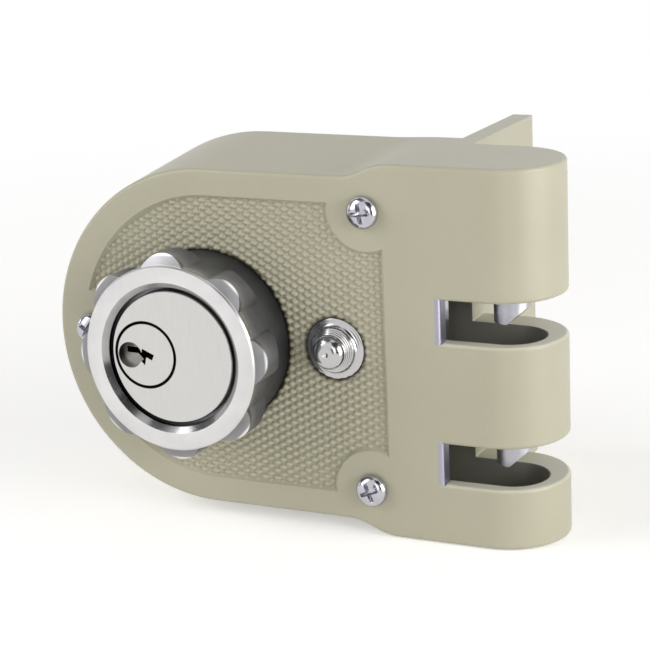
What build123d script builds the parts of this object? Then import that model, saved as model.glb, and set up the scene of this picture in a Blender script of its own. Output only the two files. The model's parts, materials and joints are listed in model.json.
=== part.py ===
from build123d import *
import math
import os

# Rim lock with interlocking bolt pins, a key cylinder in its turn knob and a stop button.
# Millimetres. X runs towards the door edge, Y into the door, Z up.
# The origin lies on the knob axis, in the plane of the door face that the lock is screwed to.
# A depth is measured into the lock from the front face of the case.

# Case
case_depth = 31.0
round_end_x = 0.3
front_round_radius = 37.2
back_round_radius = 40.0
front_right_half = 40.2
back_right_half = 40.4
step_start_x = 32.0
step_end_x = 43.5
front_wall = 3.3
side_wall = 3.4
edge_radius = 0.8

# Fingers, and the slots between them that take the strike
finger_depth = 26.0
finger_end_x = 77.2
slot_end_x = 54.4
upper_slot_top = 12.4
upper_slot_bottom = 3.3
lower_slot_top = -18.4
lower_slot_bottom = -27.2
finger_floor = 3.0
finger_roof = 3.2
cavity_back = 18.3
cavity_end_x = 73.6
hidden_wall_x = 46.5

# Flange over the door edge
flange_left_x = 48.1
flange_thickness = 4.6
flange_reach = 32.0
flange_screw_reach = 16.0
flange_screw_spacing = 50.0
wood_screw_hole = 4.6
wood_screw_head = 8.6

# Textured panel sunk into the front
panel_depth = 1.0
panel_bevel = 0.95
panel_round_x = 1.2
panel_half_height = 30.6
panel_end_x = 41.2
panel_notch_radius = 9.4

# Screws that hold the case to its mounting plate
screw_right_x = 38.2
screw_right_z = 30.05
screw_left_x = -28.75
screw_radius = 2.0
screw_head_radius = 3.5
screw_head_height = 1.9
screw_head_rim = 0.65
screw_head_shoulder_radius = 2.75
screw_head_shoulder_height = 1.55
screw_head_flat_radius = 1.4
screw_post_radius = 4.5
screw_clearance = 0.2

# Mounting plate let into the back of the case
plate_thickness = 2.5
plate_lip = 1.6
plate_clearance = 0.15
tailpiece_hole = 14.0
plate_hole_span_x = 40.0
plate_hole_span_z = 44.0
plate_hole_centre_x = 4.0
plate_screw_head = 7.6

# Turn knob
knob_projection = 16.5
ring_radius = 20.0
ring_inner_radius = 16.3
ring_edge_chamfer = 0.4
collar_radius = 19.45
lobe_count = 8
lobe_phase = 2.5
lobe_outer_radius = 22.3
lobe_radius = 5.4
lobe_setback = 0.3
lobe_facet_length = 1.5
lobe_straight_end = 6.5
lobe_tail_end = 9.0
lobe_tail_bulge = 0.5
journal_radius = 17.0
running_clearance = 0.05
collar_gap = 0.05
washer_thickness = 0.65
washer_width = 2.1
journal_end = 8.5
boss_depth = 6.0
boss_wall = 3.1
ring_groove_radius = 16.2
retaining_ring_thickness = 1.1
retaining_ring_radius = 18.6
retaining_ring_gap = 5.0
groove_play = 0.1

# Key cylinder
cylinder_radius = 14.29
cylinder_recess = 1.1
cylinder_end = 5.0
cylinder_edge = 0.25
cylinder_gap_radius = 15.05
cylinder_gap_depth = 2.5
fit_clearance = 0.03
plug_radius = 7.07
plug_offset = 6.26
plug_clearance = 0.05
plug_relief_width = 0.25
plug_relief_depth = 0.6
plug_tail_radius = 5.2
plug_tail_end = 7.6
plug_groove_radius = 4.4
plug_clip_radius = 7.6
plug_clip_thickness = 0.8
plug_cam_reach = 7.5
plug_cam_radius = 5.9
plug_cam_width = 5.0
plug_cam_thickness = 1.6
pin_count = 5
pin_pitch = 3.6
first_pin_depth = -12.0
pin_radius = 1.4
pin_clearance = 0.05
shear_gap = 0.05
key_pin_drop = 0.2
key_pin_tip_x = -3.9
driver_pin_length = 4.6
pin_spring_wall = 0.3
pin_spring_end = 12.6
chamber_cap_end = 13.9
keyway_width = 1.3
keyway_points = [(-11.3, 0.6), (-8.4, 0.5), (-6.9, -1.0), (-6.6, 0.4), (-4.5, -0.5)]
key_entry_radius = 2.8
key_entry_depth = 1.2
key_entry_x = -10.0
key_entry_z = -0.3
set_screw_radius = 1.25
set_screw_depth = 3.4
set_screw_bite = 1.0

# Drive from the knob to the bolts
bolt_travel = 15.0
knob_sweep = 90.0
cam_radius = 17.5
cam_thickness = 2.5
cam_screw_circle = 15.3
cam_screw_radius = 0.7
cam_screw_head_radius = 1.3
cam_screw_bite = 2.0
cam_screw_count = 3
cam_screw_start_angle = 60.0
detent_notch_count = 3
detent_notch_radius = 1.6
detent_notch_depth = 0.6
tailpiece_slot_length = 7.0
tailpiece_slot_width = 2.2
crank_pin_radius = 2.5
crank_play = 0.4
crank_slot_end_play = 0.35
arm_gap = 0.4
arm_thickness = 2.5
arm_margin = 3.3
arm_left_margin = 2.2
lug_half_height = 12.0
lug_half_width = 4.4

# Bolt slide and bolt pins
web_left_x = 43.5
web_right_x = 54.0
web_depth = 3.5
web_thickness = 2.5
web_bottom = -8.5
web_top = 27.5
slide_side_gap = 0.4
bolt_x = 66.0
bolt_depth = 12.0
bolt_radius = 4.0
bolt_neck_radius = 2.8
bolt_rest_drop = 6.3
bolt_length = 20.2
bolt_bevel = 42.0
bolt_hole_clearance = 0.15
bolt_arm_thickness = 2.8
bolt_arm_half_width = 5.2
post_right_x = 50.0
post_top = -1.5
lower_arm_left_x = 50.6
rivet_radius = 0.9
rivet_head_radius = 1.4
rivet_head_height = 0.8
rivet_inset = 1.6
stud_x = 48.7
stud_z = 10.2
stud_radius = 2.5
stud_head_radius = 3.6
stud_head_height = 1.2
stud_play = 0.2
stud_root_radius = 1.5
stud_root_length = 2.0

# Stop button
button_x = 30.2
button_radius = 3.4
button_projection = 4.4
button_dome = 1.1
button_shoulder_radius = 2.72
button_shoulder_drop = 0.44
button_dimple_radius = 0.7
button_dimple_depth = 0.35
button_skirt_depth = -0.2
button_travel = 3.0
stem_radius = 2.0
stem_gap = 0.3
stem_hole_play = 0.3
bushing_flange_radius = 6.6
bushing_flange_edge = 0.6
bushing_shoulder_radius = 4.6
bushing_shoulder_depth = -1.2
bushing_neck_radius = 4.2
bushing_neck_depth = -2.6
bushing_bore_radius = 3.5
bushing_thread_radius = 5.0
bushing_shelf_depth = 4.8
bushing_end = 6.4
bushing_wall_clearance = 0.05
nut_across_flats = 13.0
nut_thickness = 2.5
clip_radius = 3.3
clip_thickness = 0.6
clip_groove_radius = 1.5
clip_play = 0.1
clip_opening = 2.2
spring_wire_radius = 0.25
spring_coil_radius = 2.7
spring_turns = 5

# Detent spring beside the drive cam
detent_post_x = -22.0
detent_post_z = 13.0
detent_post_radius = 1.5
detent_strip = 0.6
detent_gap = 0.15
detent_width = 2.3
detent_shoulder_x = -18.9
detent_shoulder_z = 4.5
detent_bump_z = 1.3
detent_side_play = 0.1

# Sizes worked out from those above
front_y = -case_depth
plate_depth = case_depth - plate_thickness
finger_radius = finger_depth / 2
finger_round_x = finger_end_x - finger_radius
flange_right_x = flange_left_x + flange_thickness
cavity_radius = (cavity_back - front_wall) / 2
cavity_round_x = cavity_end_x - cavity_radius
cavity_half_height = front_right_half - finger_roof
trim_half_height = front_right_half + back_right_half
overshoot = 1.0
knob_face_depth = -knob_projection
collar_end_depth = panel_depth - washer_thickness - collar_gap
bore_radius = cylinder_radius + fit_clearance
journal_hole_radius = journal_radius + running_clearance
cylinder_face_depth = knob_face_depth + cylinder_recess
cylinder_gap_end = cylinder_face_depth + cylinder_gap_depth
plug_relief_end = cylinder_face_depth + plug_relief_depth
plug_bore_radius = plug_radius + plug_clearance
chamber_radius = pin_radius + pin_clearance
shear_x = plug_radius - plug_offset
crank_radius = bolt_travel / (2 * math.sin(math.radians(knob_sweep / 2)))
cam_back_depth = journal_end + cam_thickness
arm_depth = cam_back_depth + arm_gap
arm_back_depth = arm_depth + arm_thickness
web_back_depth = web_depth + web_thickness
upper_tip_z = upper_slot_top - bolt_rest_drop
lower_tip_z = lower_slot_top - bolt_rest_drop
bevel_run = bolt_radius + overshoot
bevel_rise = bevel_run * math.tan(math.radians(bolt_bevel))
arm_half_height = crank_pin_radius + crank_play + arm_margin
inner_front_radius = front_round_radius - side_wall
inner_back_radius = back_round_radius - side_wall
rebate_radius = inner_back_radius + plate_lip
detent_post_end = journal_end + detent_side_play + detent_width + detent_side_play
lobe_tail_waist = (lobe_straight_end + lobe_tail_end) / 2
lobe_tail_waist_radius = (lobe_outer_radius + collar_radius) / 2 + lobe_tail_bulge
groove_end_depth = boss_depth + 3 * groove_play + retaining_ring_thickness
plug_groove_end = cylinder_end + plug_clip_thickness + 2 * shear_gap
plug_cam_start = plug_tail_end - plug_cam_thickness
key_pin_top_x = shear_x - key_pin_drop
driver_pin_x = shear_x + plug_clearance + shear_gap
detent_notch_circle = cam_radius + detent_notch_radius - detent_notch_depth
detent_start_angle = 180 - knob_sweep / 2
detent_ring_radius = detent_post_radius + fit_clearance + detent_strip / 2
detent_bump_x = -(cam_radius + detent_gap + detent_strip)
crank_slot_end_gap = crank_pin_radius + crank_slot_end_play
crank_slot_start = crank_radius * math.cos(math.radians(knob_sweep / 2)) - crank_slot_end_gap
crank_slot_end = crank_radius + crank_slot_end_gap
crank_slot_centre_x = (crank_slot_start + crank_slot_end) / 2
crank_slot_length = crank_slot_end - crank_slot_start
crank_slot_width = 2 * (crank_pin_radius + crank_play)
arm_left_x = crank_slot_start - arm_left_margin
slide_way_x = web_left_x - slide_side_gap
stud_slot_width = 2 * (stud_radius + stud_play)
rivet_spots = [
    (web_left_x + rivet_inset, (web_bottom + post_top) / 2),
    (post_right_x - rivet_inset, (web_bottom + post_top) / 2),
]
button_dimple_floor = -button_projection + button_dimple_depth
clip_groove_start = bushing_end + clip_play
clip_groove_end = clip_groove_start + clip_thickness + 2 * shear_gap
stem_end = arm_depth - stem_gap
spring_start = button_skirt_depth + spring_wire_radius + fit_clearance
spring_end = bushing_shelf_depth - spring_wire_radius - fit_clearance
spring_pitch = (spring_end - spring_start) / spring_turns
screw_spots = [(screw_right_x, screw_right_z), (screw_right_x, -screw_right_z), (screw_left_x, 0)]
detent_spots = [(detent_post_x, detent_post_z), (detent_post_x, -detent_post_z)]
pin_depths = [first_pin_depth + pin_pitch * number for number in range(pin_count)]


def at_depth(depth):
    """The plane parallel to the case front at this depth, looking out of the lock."""
    return Plane.XZ.offset(case_depth - depth)


def turned_at(x, z):
    """A plane for half profiles of turned pieces: local x is the radius, local y the depth."""
    return Plane(origin=(x, front_y, z), x_dir=(1, 0, 0), z_dir=(0, 0, 1))


def turning_axis(x, z):
    """The axis of a turned piece, running into the lock."""
    return Axis((x, front_y, z), (0, 1, 0))


def plan_at(z):
    """A horizontal plane whose local y is the depth."""
    return Plane(origin=(0, front_y, z), x_dir=(1, 0, 0), z_dir=(0, 0, 1))


def round_ended_outline(radius, right_half, right_x):
    """Half circle on the left, then straight or gently stepped sides to a square right end."""
    if right_x > step_end_x:
        bend_start = (step_start_x, radius)
        bend_end = (step_end_x, right_half)
        Line((round_end_x, radius), bend_start)
        Spline(bend_start, bend_end, tangents=[(1, 0), (1, 0)])
        Line(bend_end, (right_x, right_half))
        Line((right_x, right_half), (right_x, -right_half))
        Line((right_x, -right_half), (step_end_x, -right_half))
        Spline((step_end_x, -right_half), (step_start_x, -radius), tangents=[(-1, 0), (-1, 0)])
        Line((step_start_x, -radius), (round_end_x, -radius))
    ThreePointArc((round_end_x, -radius), (round_end_x - radius, 0), (round_end_x, radius))


def straight_sided_outline(radius, right_x):
    """Half circle on the left and straight sides to a square right end."""
    Polyline((round_end_x, radius), (right_x, radius), (right_x, -radius), (round_end_x, -radius))
    ThreePointArc((round_end_x, -radius), (round_end_x - radius, 0), (round_end_x, radius))


def panel_outline(half_height, right_x):
    """The sunk panel before its notches: half circle on the left, square on the right."""
    Line((panel_round_x, half_height), (right_x, half_height))
    Line((right_x, half_height), (right_x, -half_height))
    Line((right_x, -half_height), (panel_round_x, -half_height))
    ThreePointArc(
        (panel_round_x, -half_height), (panel_round_x - half_height, 0), (panel_round_x, half_height)
    )


def open_ring(x, depth, inner, outer, thickness, opening):
    """A flat spring clip with a gap on its left side."""
    with BuildPart() as ring:
        with BuildSketch(at_depth(depth)):
            with Locations((x, 0)):
                Circle(outer)
                Circle(inner, mode=Mode.SUBTRACT)
            with Locations((x - outer, 0)):
                Rectangle(2 * (outer - inner) + overshoot, opening, mode=Mode.SUBTRACT)
        extrude(amount=-thickness)
    return ring


# Case: one casting with drafted sides, three hollow fingers and the flange
with BuildPart() as case:
    with BuildSketch(at_depth(0)):
        with BuildLine():
            round_ended_outline(front_round_radius, front_right_half, finger_end_x)
        make_face()
    with BuildSketch(at_depth(case_depth)):
        with BuildLine():
            round_ended_outline(back_round_radius, back_right_half, finger_end_x)
        make_face()
    loft(ruled=True)
    with BuildSketch(plan_at(-trim_half_height)):
        with BuildLine():
            Polyline(
                (finger_round_x, 0),
                (-back_round_radius - overshoot, 0),
                (-back_round_radius - overshoot, case_depth),
                (flange_right_x, case_depth),
                (flange_right_x, finger_depth),
                (finger_round_x, finger_depth),
            )
            ThreePointArc(
                (finger_round_x, finger_depth), (finger_end_x, finger_radius), (finger_round_x, 0)
            )
        make_face()
    extrude(amount=2 * trim_half_height, mode=Mode.INTERSECT)
    for slot_top, slot_bottom in (
        (upper_slot_top, upper_slot_bottom),
        (lower_slot_top, lower_slot_bottom),
    ):
        with BuildSketch(plan_at(slot_bottom)):
            with Locations((slot_end_x, finger_radius)):
                Rectangle(
                    finger_end_x - slot_end_x + overshoot,
                    finger_depth + 2 * overshoot,
                    align=(Align.MIN, Align.CENTER),
                )
        extrude(amount=slot_top - slot_bottom, mode=Mode.SUBTRACT)
    front_face = case.faces().sort_by(Axis.Y)[0]
    fillet(front_face.edges(), edge_radius)

    # Hollow of the main body, drafted like its outside, and the rebate for the mounting plate
    for depth, radius in ((front_wall, inner_front_radius), (case_depth, inner_back_radius)):
        with BuildSketch(at_depth(depth)):
            with BuildLine():
                straight_sided_outline(radius, hidden_wall_x)
            make_face()
    loft(ruled=True, mode=Mode.SUBTRACT)
    with BuildSketch(at_depth(plate_depth)):
        with BuildLine():
            straight_sided_outline(rebate_radius, hidden_wall_x + plate_lip)
        make_face()
    extrude(amount=-plate_thickness, mode=Mode.SUBTRACT)

    # Way through from the body into the fingers, and the hollows of the fingers
    with BuildSketch(plan_at(-cavity_half_height)):
        with Locations((slide_way_x, front_wall)):
            Rectangle(slot_end_x - slide_way_x, cavity_back - front_wall, align=(Align.MIN, Align.MIN))
    extrude(amount=2 * cavity_half_height, mode=Mode.SUBTRACT)
    for hollow_bottom, hollow_top in (
        (upper_slot_top + finger_floor, cavity_half_height),
        (lower_slot_top + finger_floor, upper_slot_bottom),
        (-cavity_half_height, lower_slot_bottom),
    ):
        with BuildSketch(plan_at(hollow_bottom)):
            with Locations((slot_end_x - overshoot, front_wall)):
                Rectangle(
                    cavity_round_x - slot_end_x + overshoot,
                    2 * cavity_radius,
                    align=(Align.MIN, Align.MIN),
                )
            with Locations((cavity_round_x, front_wall + cavity_radius)):
                Circle(cavity_radius)
        extrude(amount=hollow_top - hollow_bottom, mode=Mode.SUBTRACT)
    for floor_bottom in (upper_slot_top, lower_slot_top):
        with BuildSketch(plan_at(floor_bottom - overshoot)):
            with Locations((bolt_x, bolt_depth)):
                Circle(bolt_radius + bolt_hole_clearance)
        extrude(amount=finger_floor + 2 * overshoot, mode=Mode.SUBTRACT)

    # Screw posts, the boss round the knob journal and the posts of the detent spring
    with BuildSketch(at_depth(front_wall - overshoot)):
        with Locations(*screw_spots):
            Circle(screw_post_radius)
    extrude(amount=front_wall - overshoot - plate_depth)
    with BuildSketch(at_depth(front_wall - overshoot)):
        Circle(journal_radius + boss_wall)
    extrude(amount=front_wall - overshoot - boss_depth)
    with BuildSketch(at_depth(front_wall - overshoot)):
        with Locations(*detent_spots):
            Circle(detent_post_radius)
    extrude(amount=front_wall - overshoot - detent_post_end)

    # Flange over the edge of the door, with its two countersunk screw holes
    with BuildSketch(plan_at(-back_right_half)):
        with Locations((flange_left_x, case_depth - overshoot)):
            Rectangle(flange_thickness, flange_reach + overshoot, align=(Align.MIN, Align.MIN))
    extrude(amount=2 * back_right_half)
    with Locations(
        Plane(origin=(flange_right_x, flange_screw_reach, 0), x_dir=(0, 1, 0), z_dir=(1, 0, 0))
    ):
        with Locations((0, flange_screw_spacing / 2), (0, -flange_screw_spacing / 2)):
            CounterSinkHole(wood_screw_hole / 2, wood_screw_head / 2, flange_thickness + overshoot)

    # Sunk panel with a bevelled rim, left raised round the three screws
    for growth, depth in ((0, panel_depth), (panel_bevel, 0)):
        with BuildSketch(at_depth(depth)):
            with BuildLine():
                panel_outline(panel_half_height + growth, panel_end_x + growth)
            make_face()
            with Locations(*screw_spots):
                Circle(panel_notch_radius - growth, mode=Mode.SUBTRACT)
    loft(ruled=True, mode=Mode.SUBTRACT)

    # Holes through the front wall
    with BuildSketch(at_depth(0)):
        Circle(journal_hole_radius)
    extrude(amount=-boss_depth, mode=Mode.SUBTRACT)
    with BuildSketch(at_depth(0)):
        with Locations((button_x, 0)):
            Circle(bushing_thread_radius + bushing_wall_clearance)
    extrude(amount=-front_wall, mode=Mode.SUBTRACT)
    with BuildSketch(at_depth(0)):
        with Locations(*screw_spots):
            Circle(screw_radius + screw_clearance)
    extrude(amount=-plate_depth, mode=Mode.SUBTRACT)
    with BuildSketch(at_depth(front_wall)):
        with Locations((stud_x, stud_z)):
            Circle(stud_root_radius)
    extrude(amount=stud_root_length, mode=Mode.SUBTRACT)
case.part.label = "case"

# Mounting plate: screwed to the door first, the case is then screwed to it from the front
with BuildPart() as back_plate:
    with BuildSketch(at_depth(plate_depth)):
        with BuildLine():
            straight_sided_outline(
                rebate_radius - plate_clearance, hidden_wall_x + plate_lip - plate_clearance
            )
        make_face()
        Circle(tailpiece_hole / 2, mode=Mode.SUBTRACT)
        with Locations(*screw_spots):
            Circle(screw_radius, mode=Mode.SUBTRACT)
    extrude(amount=-plate_thickness)
    plate_front = (plate_hole_centre_x, front_y + plate_depth, 0)
    with Locations(Plane(origin=plate_front, x_dir=(1, 0, 0), z_dir=(0, -1, 0))):
        with GridLocations(plate_hole_span_x, plate_hole_span_z, 2, 2):
            CounterSinkHole(wood_screw_hole / 2, plate_screw_head / 2, plate_thickness + overshoot)
back_plate.part.label = "back_plate"

# Case screws: pan heads on the front, shanks that end in the mounting plate
with BuildPart() as case_screws:
    with BuildSketch(at_depth(0)):
        with Locations(*screw_spots):
            Circle(screw_radius)
    extrude(amount=-(case_depth - screw_clearance))
    for spot_x, spot_z in screw_spots:
        with BuildSketch(turned_at(spot_x, spot_z)):
            with BuildLine():
                Line((0, 0), (screw_head_radius, 0))
                Line((screw_head_radius, 0), (screw_head_radius, -screw_head_rim))
                ThreePointArc(
                    (screw_head_radius, -screw_head_rim),
                    (screw_head_shoulder_radius, -screw_head_shoulder_height),
                    (screw_head_flat_radius, -screw_head_height),
                )
                Line((screw_head_flat_radius, -screw_head_height), (0, -screw_head_height))
                Line((0, -screw_head_height), (0, 0))
            make_face()
        revolve(axis=turning_axis(spot_x, spot_z))
case_screws.part.label = "case_screws"

# Bearing washer between the panel and the knob collar
with BuildPart() as bearing_washer:
    with BuildSketch(at_depth(panel_depth)):
        Circle(journal_hole_radius + washer_width)
        Circle(journal_hole_radius, mode=Mode.SUBTRACT)
    extrude(amount=washer_thickness)
bearing_washer.part.label = "bearing_washer"

# Turn knob: collar and journal in one, eight half round lobes, bored for the key cylinder
with BuildPart() as turn_knob:
    with BuildSketch(at_depth(knob_face_depth + lobe_setback)):
        with PolarLocations(lobe_outer_radius - lobe_radius, lobe_count, start_angle=lobe_phase):
            Circle(lobe_radius)
    extrude(amount=-lobe_tail_end)
    with BuildSketch(turned_at(0, 0)):
        with BuildLine():
            Polyline(
                (0, knob_face_depth),
                (ring_radius, knob_face_depth + lobe_setback),
                (lobe_outer_radius, knob_face_depth + lobe_facet_length),
                (lobe_outer_radius, knob_face_depth + lobe_straight_end),
            )
            ThreePointArc(
                (lobe_outer_radius, knob_face_depth + lobe_straight_end),
                (lobe_tail_waist_radius, knob_face_depth + lobe_tail_waist),
                (collar_radius, knob_face_depth + lobe_tail_end),
            )
            Polyline(
                (collar_radius, knob_face_depth + lobe_tail_end),
                (0, knob_face_depth + lobe_tail_end),
                (0, knob_face_depth),
            )
        make_face()
    revolve(axis=turning_axis(0, 0), mode=Mode.INTERSECT)
    with BuildSketch(turned_at(0, 0)):
        with BuildLine():
            Polyline(
                (0, knob_face_depth),
                (ring_radius - ring_edge_chamfer, knob_face_depth),
                (ring_radius, knob_face_depth + ring_edge_chamfer),
                (collar_radius, collar_end_depth),
                (journal_radius, collar_end_depth),
                (journal_radius, boss_depth + groove_play),
                (ring_groove_radius, boss_depth + groove_play),
                (ring_groove_radius, groove_end_depth),
                (journal_radius, groove_end_depth),
                (journal_radius, journal_end),
                (0, journal_end),
                close=True,
            )
        make_face()
    revolve(axis=turning_axis(0, 0))
    with BuildSketch(turned_at(0, 0)):
        with BuildLine():
            Polyline(
                (0, knob_face_depth),
                (ring_inner_radius, knob_face_depth),
                (cylinder_gap_radius, cylinder_face_depth),
                (cylinder_gap_radius, cylinder_gap_end),
                (bore_radius, cylinder_gap_end),
                (bore_radius, journal_end),
                (0, journal_end),
                close=True,
            )
        make_face()
    revolve(axis=turning_axis(0, 0), mode=Mode.SUBTRACT)
    with BuildSketch(at_depth(journal_end)):
        with PolarLocations(cam_screw_circle, cam_screw_count, start_angle=cam_screw_start_angle):
            Circle(cam_screw_radius)
    extrude(amount=cam_screw_bite + fit_clearance, mode=Mode.SUBTRACT)
    with BuildSketch(plan_at(-journal_radius)):
        with Locations((0, set_screw_depth)):
            Circle(set_screw_radius)
    extrude(amount=journal_radius - bore_radius + overshoot, mode=Mode.SUBTRACT)
turn_knob.part.label = "turn_knob"

# Spring ring that keeps the knob in the case
knob_retaining_ring = open_ring(
    0,
    boss_depth + 2 * groove_play,
    ring_groove_radius,
    retaining_ring_radius,
    retaining_ring_thickness,
    retaining_ring_gap,
)
knob_retaining_ring.part.label = "knob_retaining_ring"

# Key cylinder: housing with the plug bored off centre and five pin chambers beside it
with BuildPart() as cylinder_shell:
    with BuildSketch(at_depth(cylinder_face_depth)):
        Circle(cylinder_radius)
        with Locations((-plug_offset, 0)):
            Circle(plug_bore_radius, mode=Mode.SUBTRACT)
    extrude(amount=-(cylinder_end - cylinder_face_depth))
    shell_face = cylinder_shell.faces().sort_by(Axis.Y)[0]
    chamfer(shell_face.edges().sort_by(SortBy.RADIUS)[-1], cylinder_edge)
    for pin_depth in pin_depths:
        with BuildSketch(Plane(origin=(0, front_y + pin_depth, 0), z_dir=(1, 0, 0))):
            Circle(chamber_radius)
        extrude(amount=cylinder_radius + overshoot, mode=Mode.SUBTRACT)
    with BuildSketch(plan_at(-cylinder_radius - overshoot)):
        with Locations((0, set_screw_depth)):
            Circle(set_screw_radius)
    extrude(amount=overshoot + set_screw_bite, mode=Mode.SUBTRACT)
cylinder_shell.part.label = "cylinder_shell"

# Plug: turns in the housing, with its keyway, key entry, pin holes and grooved tail
with BuildPart() as cylinder_plug:
    with BuildSketch(turned_at(-plug_offset, 0)):
        with BuildLine():
            Polyline(
                (0, cylinder_face_depth),
                (plug_radius - plug_relief_width, cylinder_face_depth),
                (plug_radius - plug_relief_width, plug_relief_end),
                (plug_radius, plug_relief_end),
                (plug_radius, cylinder_end),
                (plug_groove_radius, cylinder_end),
                (plug_groove_radius, plug_groove_end),
                (plug_tail_radius, plug_groove_end),
                (plug_tail_radius, plug_cam_start),
                (plug_groove_radius, plug_cam_start),
                (plug_groove_radius, plug_tail_end),
                (0, plug_tail_end),
                close=True,
            )
        make_face()
    revolve(axis=turning_axis(-plug_offset, 0))
    with BuildSketch(at_depth(cylinder_face_depth)):
        with BuildLine() as keyway_path:
            Polyline(*keyway_points)
        trace(keyway_path.line, line_width=keyway_width)
    extrude(amount=-(cylinder_end - cylinder_face_depth), mode=Mode.SUBTRACT)
    with BuildSketch(at_depth(cylinder_face_depth)):
        with Locations((key_entry_x, key_entry_z)):
            Circle(key_entry_radius)
    extrude(amount=-key_entry_depth, mode=Mode.SUBTRACT)
    for pin_depth in pin_depths:
        with BuildSketch(Plane(origin=(key_pin_tip_x, front_y + pin_depth, 0), z_dir=(1, 0, 0))):
            Circle(chamber_radius)
        extrude(amount=plug_radius, mode=Mode.SUBTRACT)
cylinder_plug.part.label = "cylinder_plug"

# Clip and cam on the tail of the plug
plug_retainer = open_ring(
    -plug_offset,
    cylinder_end + shear_gap,
    plug_groove_radius,
    plug_clip_radius,
    plug_clip_thickness,
    2 * plug_groove_radius - overshoot,
)
plug_retainer.part.label = "plug_retainer"

with BuildPart() as plug_cam:
    with BuildSketch(at_depth(plug_cam_start)):
        with Locations((-plug_offset, 0)):
            Circle(plug_cam_radius)
            with Locations((plug_cam_reach / 2, 0)):
                Rectangle(plug_cam_reach, plug_cam_width)
            Circle(plug_groove_radius, mode=Mode.SUBTRACT)
    extrude(amount=-plug_cam_thickness)
plug_cam.part.label = "plug_cam"

# Pin stacks, one in each chamber: key pin, driver pin, spring and chamber cap
with BuildPart() as key_pins:
    for pin_depth in pin_depths:
        with BuildSketch(Plane(origin=(key_pin_tip_x, front_y + pin_depth, 0), z_dir=(1, 0, 0))):
            Circle(pin_radius)
        extrude(amount=key_pin_top_x - key_pin_tip_x)
key_pins.part.label = "key_pins"

with BuildPart() as driver_pins:
    for pin_depth in pin_depths:
        with BuildSketch(Plane(origin=(driver_pin_x, front_y + pin_depth, 0), z_dir=(1, 0, 0))):
            Circle(pin_radius)
        extrude(amount=driver_pin_length)
driver_pins.part.label = "driver_pins"

with BuildPart() as pin_springs:
    for pin_depth in pin_depths:
        with BuildSketch(
            Plane(origin=(driver_pin_x + driver_pin_length, front_y + pin_depth, 0), z_dir=(1, 0, 0))
        ):
            Circle(pin_radius)
            Circle(pin_radius - pin_spring_wall, mode=Mode.SUBTRACT)
        extrude(amount=pin_spring_end - driver_pin_x - driver_pin_length)
pin_springs.part.label = "pin_springs"

with BuildPart() as chamber_caps:
    for pin_depth in pin_depths:
        with BuildSketch(Plane(origin=(pin_spring_end, front_y + pin_depth, 0), z_dir=(1, 0, 0))):
            Circle(pin_radius)
        extrude(amount=chamber_cap_end - pin_spring_end)
chamber_caps.part.label = "chamber_caps"

# Screw that keeps the key cylinder in the knob
with BuildPart() as cylinder_set_screw:
    with BuildSketch(plan_at(-journal_radius + running_clearance)):
        with Locations((0, set_screw_depth)):
            Circle(set_screw_radius - fit_clearance)
    extrude(amount=journal_radius - running_clearance - cylinder_radius + set_screw_bite)
cylinder_set_screw.part.label = "cylinder_set_screw"

# Drive cam: closes the journal and carries the crank pin; its slot takes the outside tailpiece
with BuildPart() as drive_cam:
    with BuildSketch(at_depth(journal_end)):
        Circle(cam_radius)
        with PolarLocations(
            detent_notch_circle, detent_notch_count, detent_start_angle, knob_sweep, endpoint=True
        ):
            Circle(detent_notch_radius, mode=Mode.SUBTRACT)
        with Locations((crank_radius, 0)):
            Circle(crank_pin_radius, mode=Mode.SUBTRACT)
        Rectangle(tailpiece_slot_width, tailpiece_slot_length, mode=Mode.SUBTRACT)
    extrude(amount=-cam_thickness)
    with Locations(Plane(origin=(0, front_y + cam_back_depth, 0), x_dir=(1, 0, 0), z_dir=(0, 1, 0))):
        with PolarLocations(cam_screw_circle, cam_screw_count, start_angle=-cam_screw_start_angle):
            CounterSinkHole(cam_screw_radius, cam_screw_head_radius, cam_thickness + overshoot)
drive_cam.part.label = "drive_cam"

with BuildPart() as cam_screws:
    for number in range(cam_screw_count):
        angle = math.radians(cam_screw_start_angle + number * 360 / cam_screw_count)
        spot_x = cam_screw_circle * math.cos(angle)
        spot_z = cam_screw_circle * math.sin(angle)
        with BuildSketch(turned_at(spot_x, spot_z)):
            with BuildLine():
                Polyline(
                    (0, journal_end - cam_screw_bite),
                    (cam_screw_radius, journal_end - cam_screw_bite),
                    (cam_screw_radius, cam_back_depth - cam_screw_head_radius + cam_screw_radius),
                    (cam_screw_head_radius, cam_back_depth),
                    (0, cam_back_depth),
                    close=True,
                )
            make_face()
        revolve(axis=turning_axis(spot_x, spot_z))
cam_screws.part.label = "cam_screws"

with BuildPart() as crank_pin:
    with BuildSketch(at_depth(journal_end)):
        with Locations((crank_radius, 0)):
            Circle(crank_pin_radius)
    extrude(amount=journal_end - arm_back_depth - arm_gap)
    chamfer(crank_pin.edges().sort_by(Axis.Y)[-1], crank_play)
crank_pin.part.label = "crank_pin"

# Detent spring: a bent strip whose bump faces the notches in the rim of the cam
with BuildPart() as detent_spring:
    with BuildSketch(at_depth(journal_end + detent_side_play)):
        with BuildLine() as strip_path:
            Polyline(
                (detent_post_x + detent_ring_radius, detent_post_z),
                (detent_shoulder_x, detent_shoulder_z),
                (detent_shoulder_x, detent_bump_z),
                (detent_bump_x, 0),
                (detent_shoulder_x, -detent_bump_z),
                (detent_shoulder_x, -detent_shoulder_z),
                (detent_post_x + detent_ring_radius, -detent_post_z),
            )
        trace(strip_path.line, line_width=detent_strip)
        with Locations(*detent_spots):
            Circle(detent_ring_radius + detent_strip / 2)
            Circle(detent_post_radius + fit_clearance, mode=Mode.SUBTRACT)
    extrude(amount=-detent_width)
detent_spring.part.label = "detent_spring"

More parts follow.
